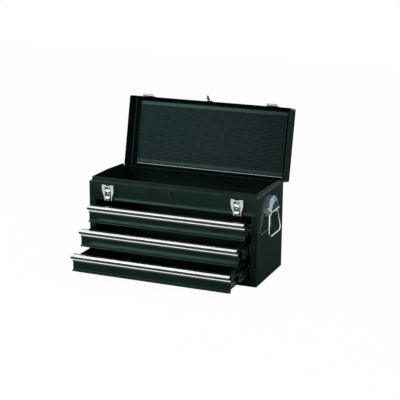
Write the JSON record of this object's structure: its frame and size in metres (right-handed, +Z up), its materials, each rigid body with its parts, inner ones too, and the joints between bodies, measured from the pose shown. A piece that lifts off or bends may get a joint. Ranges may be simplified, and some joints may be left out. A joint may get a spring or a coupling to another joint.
{
  "type": "portable tool chest",
  "caption": "Black steel portable tool chest with a lift-up lid over a till, drawers on telescopic slides, draw latches and bail handles.",
  "frame": {"origin": "centre of the base, on the surface the chest stands on", "axes": "+X along the width to the right seen from the front, -Y to the front, +Z up"},
  "size_m": [0.5406, 0.4725, 0.4712],
  "materials": {
    "black_paint": "glossy black enamel on steel sheet",
    "black_plate": "black plated steel",
    "liner": "ribbed black sheet",
    "aluminium": "bright extruded aluminium",
    "chrome": "bright plated pressed steel",
    "zinc": "bright zinc on rolled steel"
  },
  "bodies": {
    "carcass": {"side_panel_left": "black_paint", "side_panel_right": "black_paint", "slide_wall_left": "black_paint", "slide_wall_right": "black_paint", "front_panel": "black_paint", "back_panel": "black_paint", "base_pan": "black_paint", "till_tray": "black_paint", "slide_1_left_outer": "zinc", "slide_1_right_outer": "zinc", "slide_2_left_outer": "zinc", "slide_2_right_outer": "zinc", "slide_3_left_outer": "zinc", "slide_3_right_outer": "zinc", "hinge_left_case_leaf": "black_plate", "hinge_left_pin": "zinc", "latch_left_base": "chrome", "handle_left_hood": "chrome", "handle_left_bracket": "chrome", "hinge_right_case_leaf": "black_plate", "hinge_right_pin": "zinc", "latch_right_base": "chrome", "handle_right_hood": "chrome", "handle_right_bracket": "chrome", "hasp_eye_case": "black_plate"},
    "lid": {"lid_shell": "black_paint", "lid_liner": "liner", "hinge_left_lid_leaf": "black_plate", "hinge_right_lid_leaf": "black_plate", "latch_left_keeper": "chrome", "latch_right_keeper": "chrome", "hasp_eye_lid": "black_plate"},
    "drawer_1": {"drawer_1_tray": "black_paint", "drawer_1_front": "black_paint", "drawer_1_pull": "aluminium", "slide_1_left_inner": "zinc", "slide_1_right_inner": "zinc"},
    "runners_1": {"slide_1_left_middle": "zinc", "slide_1_right_middle": "zinc"},
    "drawer_2": {"drawer_2_tray": "black_paint", "drawer_2_front": "black_paint", "drawer_2_pull": "aluminium", "slide_2_left_inner": "zinc", "slide_2_right_inner": "zinc"},
    "runners_2": {"slide_2_left_middle": "zinc", "slide_2_right_middle": "zinc"},
    "drawer_3": {"drawer_3_tray": "black_paint", "drawer_3_front": "black_paint", "drawer_3_pull": "aluminium", "slide_3_left_inner": "zinc", "slide_3_right_inner": "zinc"},
    "runners_3": {"slide_3_left_middle": "zinc", "slide_3_right_middle": "zinc"},
    "latch_lever_left": {"latch_left_lever": "chrome"},
    "latch_claw_left": {"latch_left_claw": "chrome"},
    "bail_left": {"handle_left_bail": "chrome"},
    "latch_lever_right": {"latch_right_lever": "chrome"},
    "latch_claw_right": {"latch_right_claw": "chrome"},
    "bail_right": {"handle_right_bail": "chrome"}
  },
  "joints": [
    {"name": "lid_hinge", "type": "hinge", "parent": "carcass", "child": "lid", "pos_m": [0, 0.1098, 0.2425], "axis": [1, 0, 0], "range_deg": [0, 102.3]},
    {"name": "drawer_1_slide", "type": "slide", "parent": "carcass", "child": "drawer_1", "axis": [0, -1, 0], "range_m": [-0.042, 0.143]},
    {"name": "drawer_2_slide", "type": "slide", "parent": "carcass", "child": "drawer_2", "axis": [0, -1, 0], "range_m": [-0.0923, 0.0927]},
    {"name": "drawer_3_slide", "type": "slide", "parent": "carcass", "child": "drawer_3", "axis": [0, -1, 0], "range_m": [-0.1426, 0.0424]},
    {"name": "runners_1_slide", "type": "slide", "parent": "carcass", "child": "runners_1", "axis": [0, -1, 0], "range_m": [-0.021, 0.0715]},
    {"name": "runners_2_slide", "type": "slide", "parent": "carcass", "child": "runners_2", "axis": [0, -1, 0], "range_m": [-0.04615, 0.04635]},
    {"name": "runners_3_slide", "type": "slide", "parent": "carcass", "child": "runners_3", "axis": [0, -1, 0], "range_m": [-0.0713, 0.0212]},
    {"name": "latch_left_lever_hinge", "type": "hinge", "parent": "carcass", "child": "latch_lever_left", "pos_m": [-0.1905, -0.1145, 0.229], "axis": [-1, 0, 0], "range_deg": [0, 120]},
    {"name": "latch_right_lever_hinge", "type": "hinge", "parent": "carcass", "child": "latch_lever_right", "pos_m": [0.1975, -0.1145, 0.229], "axis": [-1, 0, 0], "range_deg": [0, 120]},
    {"name": "latch_left_claw_hinge", "type": "hinge", "parent": "latch_lever_left", "child": "latch_claw_left", "pos_m": [-0.1905, -0.1125, 0.203], "axis": [1, 0, 0], "range_deg": [0, 120]},
    {"name": "latch_right_claw_hinge", "type": "hinge", "parent": "latch_lever_right", "child": "latch_claw_right", "pos_m": [0.1975, -0.1125, 0.203], "axis": [1, 0, 0], "range_deg": [0, 120]},
    {"name": "bail_left_hinge", "type": "hinge", "parent": "carcass", "child": "bail_left", "pos_m": [-0.2625, 0, 0.188], "axis": [0, 1, 0], "range_deg": [0, 80]},
    {"name": "bail_right_hinge", "type": "hinge", "parent": "carcass", "child": "bail_right", "pos_m": [0.2625, 0, 0.188], "axis": [0, -1, 0], "range_deg": [0, 80]}
  ],
  "couplings": [
    {"joint": "runners_1_slide", "follows": "drawer_1_slide", "ratio": 0.5},
    {"joint": "runners_2_slide", "follows": "drawer_2_slide", "ratio": 0.5},
    {"joint": "runners_3_slide", "follows": "drawer_3_slide", "ratio": 0.5},
    {"joint": "latch_left_claw_hinge", "follows": "latch_left_lever_hinge", "ratio": 1},
    {"joint": "latch_right_claw_hinge", "follows": "latch_right_lever_hinge", "ratio": 1}
  ]
}
